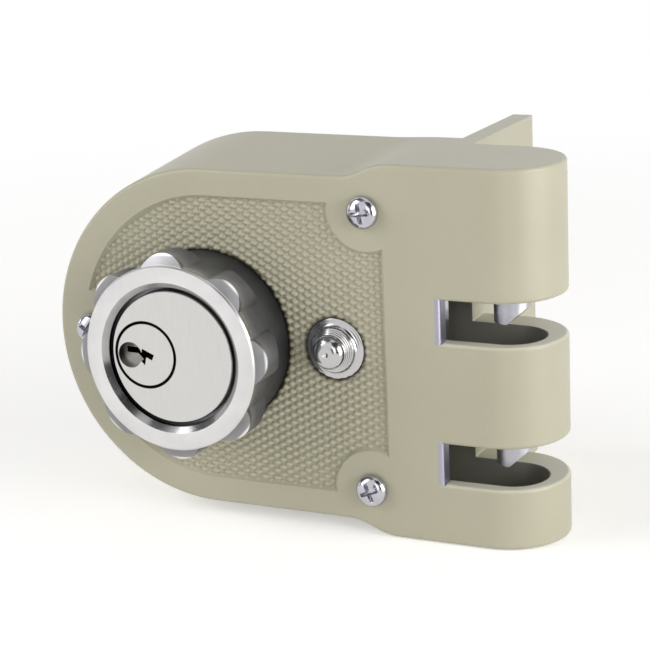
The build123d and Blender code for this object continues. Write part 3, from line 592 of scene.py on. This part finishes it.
FINISHES = {
    "case_paint": champagne_enamel(),
    "satin_nickel": satin_nickel(),
    "cylinder_nickel": dull_nickel(),
    "bright_chrome": polished_chrome(),
    # Bright zinc plate with the faint violet of its passivation
    "zinc_steel": cloudy_metal("zinc_plated_steel", "#B1B0B8", "#CCCBD2", 3.0, 0.14, 0.22),
    # Tempered spring steel, drawn and left bare: dark and rather glossy
    "spring_steel": cloudy_metal("tempered_spring_steel", "#6F6E70", "#8A8988", 2.0, 0.25, 0.38),
    # Free cutting brass as it leaves the lathe
    "brass": cloudy_metal("turned_brass", "#C9A85A", "#DCBE74", 2.5, 0.2, 0.32),
}


def finish_piece(piece, body, slot):
    """The piece rides its body and takes its slot's finish."""
    piece.data.materials.clear()
    piece.data.materials.append(FINISHES[slot])
    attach(piece, body)


def object_from(name, mesh_builder, smooth_angle):
    """An object made from a bmesh in millimetres, shaded smooth below this angle."""
    bmesh.ops.recalc_face_normals(mesh_builder, faces=mesh_builder.faces)
    mesh = bpy.data.meshes.new(name)
    mesh_builder.to_mesh(mesh)
    mesh_builder.free()
    mesh.transform(Matrix.Scale(MM, 4))
    mesh.shade_smooth()
    mesh.set_sharp_from_angle(angle=math.radians(smooth_angle))
    piece = bpy.data.objects.new(name, mesh)
    bpy.context.scene.collection.objects.link(piece)
    return piece


def turn(builder, profile, centre, steps):
    """Turns a half profile of (radius, y) points round the y axis through centre (x, z).
    A profile that starts and ends on the axis, or that closes on itself, makes a solid."""
    rows = []
    for radius, y in profile:
        if radius == 0:
            rows.append([builder.verts.new((centre[0], y, centre[1]))])
            continue
        row = []
        for step in range(steps):
            angle = math.tau * step / steps
            row.append(
                builder.verts.new(
                    (centre[0] + radius * math.cos(angle), y, centre[1] + radius * math.sin(angle))
                )
            )
        rows.append(row)
    closed = rows[1:] + rows[:1] if profile[0][0] > 0 else rows[1:]
    for near, far in zip(rows, closed):
        for step in range(steps):
            after = (step + 1) % steps
            corners = [near[step % len(near)], near[after % len(near)]]
            corners += [far[after % len(far)], far[step % len(far)]]
            builder.faces.new(list(dict.fromkeys(corners)))


def arc(centre, radii, start, end, steps):
    """Points of an elliptic arc in a half profile, angles in degrees from the radius axis."""
    points = []
    for step in range(steps + 1):
        angle = math.radians(start + (end - start) * step / steps)
        points.append(
            (centre[0] + radii[0] * math.cos(angle), centre[1] + radii[1] * math.sin(angle))
        )
    return points


def apply_modifiers(piece):
    """Leaves the evaluated mesh as the piece's own."""
    graph = bpy.context.evaluated_depsgraph_get()
    mesh = bpy.data.meshes.new_from_object(piece.evaluated_get(graph))
    piece.modifiers.clear()
    old = piece.data
    piece.data = mesh
    bpy.data.meshes.remove(old)


def trim(piece, operation, tool):
    """Cuts the tool out of the piece, or keeps only what is inside it, and removes the tool."""
    cut = piece.modifiers.new("cut", "BOOLEAN")
    cut.operation = operation
    cut.object = tool
    cut.solver = "MANIFOLD"
    apply_modifiers(piece)
    bpy.data.objects.remove(tool)


def prism(name, outline, low_y, high_y):
    """A block with this outline in x and z between two depths, in millimetres."""
    builder = bmesh.new()
    near = [builder.verts.new((x, low_y, z)) for x, z in outline]
    far = [builder.verts.new((x, high_y, z)) for x, z in outline]
    builder.faces.new(near)
    builder.faces.new(list(reversed(far)))
    for number in range(len(outline)):
        after = (number + 1) % len(outline)
        builder.faces.new((near[number], near[after], far[after], far[number]))
    return object_from(name, builder, smooth_angle=30)


def circle(x, z, radius, steps):
    """Points round a circle in x and z."""
    turns = [math.tau * step / steps for step in range(steps)]
    return [(x + radius * math.cos(turn_by), z + radius * math.sin(turn_by)) for turn_by in turns]


# The panel's cast texture, in millimetres: round pimples in rows 30 degrees above and below level
ROW_SPACING = 1.5
ROW_SLOPE = math.radians(30)
CELL_HALF_WIDTH = ROW_SPACING / (2 * math.sin(ROW_SLOPE))
CELL_HALF_HEIGHT = ROW_SPACING / (2 * math.cos(ROW_SLOPE))
PIMPLE_HALF_WIDTH = 0.92
PIMPLE_HALF_HEIGHT = 0.76
PIMPLE_HEIGHT = 0.6
CELL_STEPS = 7
TEXTURE_ROOT = 0.03
TEXTURE_DEPTH_IN_CASE = 0.15
TEXTURE_UNDER_BEVEL = 0.64
PANEL_MARGIN = 2.0
GAP_ROUND_COLLARS = 0.15
TRIM_REACH = 2.0
PANEL_ROUND_STEPS = 72
NOTCH_STEPS = 64
BORE_STEPS = 96


def panel_texture():
    """The pimples on the sunk panel, trimmed under its bevel and round the knob and the button."""
    builder = bmesh.new()
    reach = int((PANEL_RIGHT + PANEL_HALF_HEIGHT) / ROW_SPACING) * CELL_STEPS
    points = {}

    def corner(rising, falling):
        """The vertex where two lines of the skewed grid cross."""
        if (rising, falling) not in points:
            first, second = rising / CELL_STEPS, falling / CELL_STEPS
            x = ROW_SPACING * (second - first) / (2 * math.sin(ROW_SLOPE))
            z = ROW_SPACING * (second + first) / (2 * math.cos(ROW_SLOPE))
            across = ((second % 1) - (first % 1)) * CELL_HALF_WIDTH / PIMPLE_HALF_WIDTH
            along = ((second % 1) + (first % 1) - 1) * CELL_HALF_HEIGHT / PIMPLE_HALF_HEIGHT
            swell = max(1 - across**2 - along**2, 0.0)
            points[rising, falling] = (x, PANEL_FLOOR - TEXTURE_ROOT - PIMPLE_HEIGHT * swell, z)
        return points[rising, falling]

    made = {}
    for rising in range(-reach, reach):
        for falling in range(-reach, reach):
            x, _, z = corner(rising, falling)
            inside_right = PANEL_LEFT_ROUND <= x < PANEL_RIGHT + PANEL_MARGIN
            inside_left = math.hypot(x - PANEL_LEFT_ROUND, z) < PANEL_HALF_HEIGHT + PANEL_MARGIN
            if abs(z) > PANEL_HALF_HEIGHT + PANEL_MARGIN or not (inside_right or inside_left):
                continue
            face = []
            for step_rising, step_falling in ((0, 0), (0, 1), (1, 1), (1, 0)):
                key = rising + step_rising, falling + step_falling
                if key not in made:
                    made[key] = builder.verts.new(corner(*key))
                face.append(made[key])
            builder.faces.new(face)
    raised = bmesh.ops.extrude_face_region(builder, geom=builder.faces[:], use_keep_orig=True)
    for vertex in raised["geom"]:
        if isinstance(vertex, bmesh.types.BMVert):
            vertex.co.y = PANEL_FLOOR + TEXTURE_DEPTH_IN_CASE
    texture = object_from("panel_texture", builder, smooth_angle=55)

    half = PANEL_HALF_HEIGHT + TEXTURE_UNDER_BEVEL
    left_half = [
        (PANEL_LEFT_ROUND - half * math.sin(turn_by), half * math.cos(turn_by))
        for turn_by in [
            math.pi * step / PANEL_ROUND_STEPS for step in range(PANEL_ROUND_STEPS + 1)
        ]
    ]
    right = PANEL_RIGHT + TEXTURE_UNDER_BEVEL
    outline = [(right, half)] + left_half + [(right, -half)]
    low_y, high_y = FRONT - TRIM_REACH, PANEL_FLOOR + TRIM_REACH
    trim(texture, "INTERSECT", prism("panel_trim", outline, low_y, high_y))
    for x, z, _ in SCREWS.values():
        notch = circle(x, z, NOTCH_RADIUS - TEXTURE_UNDER_BEVEL, NOTCH_STEPS)
        trim(texture, "DIFFERENCE", prism("notch_trim", notch, low_y, high_y))
    for x, radius in ((0.0, COLLAR_RADIUS), (BUTTON_X, FLANGE_RADIUS)):
        bore = circle(x, 0.0, radius + GAP_ROUND_COLLARS, BORE_STEPS)
        trim(texture, "DIFFERENCE", prism("bore_trim", bore, low_y, high_y))
    finish_piece(texture, "case_body", "case_paint")


panel_texture()


# Cross recessed pan head screws that hold the case to its plate, in millimetres
HEAD_RADIUS = 3.5
HEAD_HEIGHT = 2.7
HEAD_RIM = 0.75
HEAD_RIM_STRAIGHT = 0.45
HEAD_ROUND_IN = 0.12
HEAD_ROUND_HEIGHT = 0.3
HEAD_UNDERCUT = 0.35
HEAD_FLATNESS = 2.2
HEAD_ROWS = 14
SCREW_SIDES = 56
SHANK_RADIUS = 2.0
SHANK_END = -0.2
THREAD_START = FRONT + 2.0
THREAD_PITCH = 0.7
THREAD_DEPTH = 0.32
RECESS_TOP_SPAN = 2.5
RECESS_TOP_WIDTH = 0.5
RECESS_DEEP_SPAN = 0.8
RECESS_DEEP_WIDTH = 0.32
RECESS_DEPTH = 1.9
# The cutter of the recess starts this far above the head, and is this much larger there
CUTTER_RISE = 0.25
CUTTER_SPAN_GROWTH = 1.12
CUTTER_WIDTH_GROWTH = 1.08
EDGE_ROUNDING = 0.07


def case_screw(name, x, z, cross_angle):
    """One pan head screw: domed head, cross recess with softened edges, and a threaded shank."""
    top = FRONT - HEAD_HEIGHT
    profile = []
    for row_number in range(HEAD_ROWS + 1):
        turned = math.radians(90 * row_number / HEAD_ROWS)
        along = math.sin(turned) ** (2 / HEAD_FLATNESS)
        up = max(math.cos(turned), 0.0) ** (2 / HEAD_FLATNESS)
        profile.append((HEAD_RADIUS * along, FRONT - HEAD_RIM - (HEAD_HEIGHT - HEAD_RIM) * up))
    profile += [
        (HEAD_RADIUS, FRONT - HEAD_RIM * (1 - HEAD_RIM_STRAIGHT)),
        (HEAD_RADIUS - HEAD_ROUND_IN, FRONT - HEAD_ROUND_HEIGHT),
        (HEAD_RADIUS - HEAD_UNDERCUT, FRONT),
        (SHANK_RADIUS, FRONT),
    ]
    y = THREAD_START
    while y < SHANK_END - THREAD_PITCH:
        profile += [(SHANK_RADIUS, y), (SHANK_RADIUS - THREAD_DEPTH, y + THREAD_PITCH / 2)]
        y += THREAD_PITCH
    profile += [(SHANK_RADIUS - THREAD_DEPTH, SHANK_END), (0, SHANK_END)]
    builder = bmesh.new()
    turn(builder, profile, (x, z), SCREW_SIDES)
    screw = object_from(name, builder, smooth_angle=40)

    builder = bmesh.new()
    rows = []
    for span, width, y in (
        (
            RECESS_TOP_SPAN * CUTTER_SPAN_GROWTH,
            RECESS_TOP_WIDTH * CUTTER_WIDTH_GROWTH,
            top - CUTTER_RISE,
        ),
        (RECESS_TOP_SPAN, RECESS_TOP_WIDTH, top),
        (RECESS_DEEP_SPAN, RECESS_DEEP_WIDTH, top + RECESS_DEPTH),
    ):
        row = []
        for quarter in range(4):
            turned = math.radians(cross_angle + 90 * quarter)
            along = Vector((math.cos(turned), math.sin(turned)))
            aside = Vector((-along.y, along.x))
            for point in (
                along * span - aside * width,
                along * span + aside * width,
                (along + aside) * width,
            ):
                row.append(builder.verts.new((x + point.x, y, z + point.y)))
        rows.append(row)
    for near, far in zip(rows, rows[1:]):
        for number in range(len(near)):
            after = (number + 1) % len(near)
            builder.faces.new((near[number], near[after], far[after], far[number]))
    builder.faces.new(rows[0])
    builder.faces.new(list(reversed(rows[-1])))
    trim(screw, "DIFFERENCE", object_from("recess", builder, smooth_angle=30))
    edge = screw.modifiers.new("edge", "BEVEL")
    edge.width = EDGE_ROUNDING * MM
    edge.segments = 2
    edge.limit_method = "ANGLE"
    edge.angle_limit = math.radians(42)
    apply_modifiers(screw)
    screw.data.shade_smooth()
    screw.data.set_sharp_from_angle(angle=math.radians(38))
    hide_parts("case_screws")
    finish_piece(screw, "case_body", "zinc_steel")


for place_name, (screw_x, screw_z, screw_angle) in SCREWS.items():
    case_screw("case_screw_" + place_name, screw_x, screw_z, screw_angle)


# The stop button's bushing, in millimetres. Its lip and its turned steps are radius and y, and
# the round edge of its rim is radius and depth below the rim's top.
BUTTON_BORE_RADIUS = 3.52
STEM_BORE_RADIUS = 2.15
BUSHING_LIP = ((BUTTON_BORE_RADIUS, -33.4), (3.64, -33.4), (3.72, -33.32))
BUSHING_STEPS = ((3.95, -32.75), (4.2, -32.3), (4.45, -31.95), (4.75, -31.65))
STEP_DRAFT = 0.05
TREAD_FALL = 0.1
FLARE_START = -31.6
FLARE_RADIUS = 1.4
FLARE_END_RADIUS = 6.15
FLARE_END_STEP = 0.02
FLARE_ROWS = 8
RIM_TOP = PANEL_FLOOR - 0.35
RIM_EDGE = ((6.4, 0.02), (6.54, 0.1), (FLANGE_RADIUS, 0.22))
RIM_FOOT_RADIUS = 6.25
NECK_RADIUS = 5.0
NECK_END = FRONT + 6.4
SPRING_SHELF = FRONT + 4.8
BUSHING_SIDES = 96


def stop_bushing():
    """The stop button's bushing: a flat rim, a flared body turned in fine steps, and its neck."""
    profile = list(BUSHING_LIP)
    for step_radius, step_y in BUSHING_STEPS:
        profile += [
            (profile[-1][0] + STEP_DRAFT, step_y - TREAD_FALL),
            (step_radius, step_y),
        ]
    flare_centre = (FLARE_END_RADIUS, FLARE_START)
    flare_radii = (FLARE_RADIUS, RIM_TOP - FLARE_END_STEP - FLARE_START)
    profile += arc(flare_centre, flare_radii, 180, 90, FLARE_ROWS)[1:]
    profile += [(radius, RIM_TOP + depth) for radius, depth in RIM_EDGE]
    profile += [
        (RIM_FOOT_RADIUS, PANEL_FLOOR),
        (NECK_RADIUS, PANEL_FLOOR),
        (NECK_RADIUS, NECK_END),
        (STEM_BORE_RADIUS, NECK_END),
        (STEM_BORE_RADIUS, SPRING_SHELF),
        (BUTTON_BORE_RADIUS, SPRING_SHELF),
    ]
    builder = bmesh.new()
    turn(builder, profile, (BUTTON_X, 0.0), BUSHING_SIDES)
    bushing = object_from("button_bushing_flared", builder, smooth_angle=24)
    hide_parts("button_bushing")
    finish_piece(bushing, "case_body", "bright_chrome")


stop_bushing()


# The button's return spring and the room that the button leaves it, in millimetres
COIL_RADIUS = 2.7
COIL_TURNS = 5
COIL_STEPS = 32
WIRE_RADIUS = 0.25
WIRE_SIDES = 10
COIL_START = FRONT + 0.08
COIL_END = FRONT + 4.52


def button_coil_spring():
    """A round wire wound into a coil in front of its shelf."""
    builder = bmesh.new()
    rings = []
    for step in range(COIL_TURNS * COIL_STEPS + 1):
        share = step / (COIL_TURNS * COIL_STEPS)
        turned = math.tau * COIL_TURNS * share
        y = COIL_START + (COIL_END - COIL_START) * share
        ring = []
        for side in range(WIRE_SIDES):
            angle = math.tau * side / WIRE_SIDES
            reach = COIL_RADIUS + WIRE_RADIUS * math.cos(angle)
            ring.append(
                builder.verts.new(
                    (
                        BUTTON_X + reach * math.cos(turned),
                        y + WIRE_RADIUS * math.sin(angle),
                        reach * math.sin(turned),
                    )
                )
            )
        rings.append(ring)
    for near, far in zip(rings, rings[1:]):
        for side in range(WIRE_SIDES):
            after = (side + 1) % WIRE_SIDES
            builder.faces.new((near[side], near[after], far[after], far[side]))
    builder.faces.new(rings[0])
    builder.faces.new(list(reversed(rings[-1])))
    spring = object_from("button_coil_spring", builder, smooth_angle=50)
    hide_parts("button_spring")
    finish_piece(spring, "case_body", "spring_steel")
    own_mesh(spring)


button_coil_spring()


# Zinc plate on bolts that were tumbled in a barrel: pale, with broad soft highlights
tumbled_zinc = cloudy_metal("tumbled_zinc_plate", "#A8A7AE", "#CBCAD0", 1.6, 0.3, 0.44)

# Every CAD node that still shows takes its slot's finish, and a few have their own
OWN_FINISHES = {
    "bolt_pin_upper": tumbled_zinc,
    "bolt_pin_lower": tumbled_zinc,
    # Brass painted near black, as painted shade at the collar's foot
    "bearing_washer": cloudy_metal("brass_darkened_as_shade", "#241F18", "#3A3226", 1.5, 0.3, 0.45),
    # Cold rolled sheet with dull zinc plate: soft broad highlights
    "back_plate": cloudy_metal("rolled_zinc_sheet", "#A3A3A8", "#B9B9BE", 6.0, 0.34, 0.46),
}
for subpart in frame["record"]["subparts"]:
    node = frame["nodes"][subpart["node"]]
    finish = OWN_FINISHES.get(subpart["node"], FINISHES[subpart["material_slot"]])
    node.data.materials.clear()
    node.data.materials.append(finish)


# The paper under the lock: how far it reaches, how bright it is where it is seen, and how far
# from the middle it is still whole and is gone, in metres
FLOOR_Z = cad_box[0].z
FLOOR_REACH = 6.0
PAPER_LIFT = 0.4
PAPER_WHOLE = 0.12
PAPER_GONE = 0.5


def stage_paper():
    """Matt white paper. The camera and the metals see it as plain white, with the lock's shadow
    on it, and further off they see the white background through it."""
    material, tree, shader, place = new_material(
        "stage_paper",
        {
            "Roughness": 0.9,
            "Base Color": linear("#F4F3F1"),
            "Emission Color": linear("#FFFFFF"),
        },
    )
    rays = add_node(tree, "ShaderNodeLightPath")
    seen = add_node(
        tree,
        "ShaderNodeMath",
        {"operation": "MAXIMUM"},
        {0: rays.outputs["Is Camera Ray"], 1: rays.outputs["Is Glossy Ray"]},
    ).outputs[0]
    lift = add_node(tree, "ShaderNodeMath", {"operation": "MULTIPLY", 1: PAPER_LIFT}, {0: seen})
    tree.links.new(lift.outputs[0], shader.inputs["Emission Strength"])
    reach = add_node(tree, "ShaderNodeVectorMath", {"operation": "LENGTH"}, {0: place})
    away = add_node(
        tree,
        "ShaderNodeMapRange",
        {"From Min": PAPER_WHOLE, "From Max": PAPER_GONE, "interpolation_type": "SMOOTHSTEP"},
        {"Value": reach.outputs["Value"]},
    ).outputs["Result"]
    through = add_node(tree, "ShaderNodeMath", {"operation": "MULTIPLY"}, {0: seen, 1: away})
    clear = add_node(tree, "ShaderNodeBsdfTransparent")
    mixed = add_node(
        tree,
        "ShaderNodeMixShader",
        links={0: through.outputs[0], 1: shader.outputs[0], 2: clear.outputs[0]},
    )
    tree.links.new(mixed.outputs[0], tree.nodes["Material Output"].inputs["Surface"])
    return material


def stage_plane(name, corners, material):
    """A flat piece of the studio, which isn't part of the object."""
    builder = bmesh.new()
    builder.faces.new([builder.verts.new(corner) for corner in corners])
    mesh = bpy.data.meshes.new(name)
    builder.to_mesh(mesh)
    builder.free()
    mesh.materials.append(material)
    plane = bpy.data.objects.new(name, mesh)
    bpy.context.scene.collection.objects.link(plane)
    return plane


stage_plane(
    "floor",
    [
        (-FLOOR_REACH, -FLOOR_REACH, FLOOR_Z),
        (FLOOR_REACH, -FLOOR_REACH, FLOOR_Z),
        (FLOOR_REACH, FLOOR_REACH, FLOOR_Z),
        (-FLOOR_REACH, FLOOR_REACH, FLOOR_Z),
    ],
    stage_paper(),
)

# The lamps look at this point of the lock, in metres
LAMP_AIM = Vector((0.02, -0.02, 0.0))


def softbox(name, place, size, watts):
    """A square lamp that looks at the lock, with its place and size in metres."""
    lamp = bpy.data.lights.new(name, "AREA")
    lamp.size = size
    lamp.energy = watts
    holder = bpy.data.objects.new(name, lamp)
    holder.location = place
    holder.rotation_euler = (LAMP_AIM - Vector(place)).to_track_quat("-Z", "Y").to_euler()
    holder.visible_camera = False
    bpy.context.scene.collection.objects.link(holder)


softbox("left_softbox", (-0.9, -0.55, 0.5), 0.9, 7.4)
softbox("right_softbox", (1.1, -0.24, 0.16), 0.9, 13.0)
softbox("front_fill", (0.5, -0.9, 0.25), 0.6, 1.5)
softbox("back_fill", (0.1, 0.8, 0.5), 0.8, 0.3)


def dark_card(name, place, width, height, colour):
    """A dark card that only the metals see: it gives chrome and zinc their dark edges."""
    material, *_ = new_material(name, {"Roughness": 0.9, "Base Color": linear(colour)})
    middle = Vector(place)
    facing = middle.to_track_quat("Z", "Y").to_matrix()
    corners = [
        middle + facing @ Vector((across * width / 2, up * height / 2, 0.0))
        for across, up in ((-1, -1), (1, -1), (1, 1), (-1, 1))
    ]
    card = stage_plane(name, corners, material)
    card.visible_camera = False
    card.visible_diffuse = False
    card.visible_shadow = False
    card.visible_transmission = False


dark_card("card_high", (0.3, -0.32, 0.38), 0.42, 0.36, "#1E1E20")
dark_card("card_low", (0.22, -0.19, 0.0), 0.07, 0.08, "#0E0E0F")
dark_card("card_left", (-0.42, -0.2, 0.12), 0.12, 0.3, "#0E0E0F")
dark_card("card_top", (-0.18, -0.22, 0.6), 0.5, 0.34, "#707072")
dark_card("card_bevel", (-0.4, -0.1, 0.285), 0.2, 0.34, "#707072")
dark_card("card_right", (0.335, -0.39, 0.09), 0.14, 0.28, "#1E1E20")
dark_card("card_front", (0.062, -0.29, 0.012), 0.07, 0.1, "#1E1E20")

# The studio's air: plain white where it is seen, and this share of white where it lights the lock
AIR_LIGHT = 0.25
world = bpy.data.worlds.new("studio")
bpy.context.scene.world = world
world.use_nodes = True
sky = world.node_tree
background = sky.nodes["Background"]
rays = add_node(sky, "ShaderNodeLightPath")
seen = add_node(
    sky,
    "ShaderNodeMath",
    {"operation": "MAXIMUM"},
    {0: rays.outputs["Is Camera Ray"], 1: rays.outputs["Is Transmission Ray"]},
).outputs[0]
seen = add_node(
    sky, "ShaderNodeMath", {"operation": "MAXIMUM"}, {0: seen, 1: rays.outputs["Is Glossy Ray"]}
).outputs[0]
level = add_node(
    sky, "ShaderNodeMapRange", {"To Min": AIR_LIGHT, "To Max": 1.0}, {"Value": seen}
).outputs["Result"]
background.inputs["Color"].default_value = (1.0, 1.0, 1.0, 1.0)
sky.links.new(level, background.inputs["Strength"])

# Camera: to the right of the knob's axis and above it, with the photograph's shift
CAMERA_PLACE = Vector((203.163, -389.315, 114.788)) * MM
CAMERA_YAW = math.radians(23.558)
CAMERA_PITCH = math.radians(12.616)
CAMERA_ROLL = math.radians(-1.793)
FOCAL_PIXELS = 1967.659
IMAGE_PIXELS = 650
lens = bpy.data.cameras.new("camera")
lens.sensor_width = 36.0
lens.lens = FOCAL_PIXELS / IMAGE_PIXELS * lens.sensor_width
lens.shift_x = -0.12
lens.shift_y = -0.15
lens.clip_start = 0.01
camera = bpy.data.objects.new("camera", lens)
back_axis = Vector(
    (
        math.sin(CAMERA_YAW) * math.cos(CAMERA_PITCH),
        -math.cos(CAMERA_YAW) * math.cos(CAMERA_PITCH),
        math.sin(CAMERA_PITCH),
    )
)
level_right = Vector((math.cos(CAMERA_YAW), math.sin(CAMERA_YAW), 0.0))
level_up = back_axis.cross(level_right)
right_axis = math.cos(CAMERA_ROLL) * level_right + math.sin(CAMERA_ROLL) * level_up
up_axis = math.cos(CAMERA_ROLL) * level_up - math.sin(CAMERA_ROLL) * level_right
facing = Matrix((right_axis, up_axis, back_axis)).transposed().to_4x4()
camera.matrix_world = Matrix.Translation(CAMERA_PLACE) @ facing
bpy.context.scene.collection.objects.link(camera)
bpy.context.scene.camera = camera
bpy.context.scene.view_settings.view_transform = "Standard"
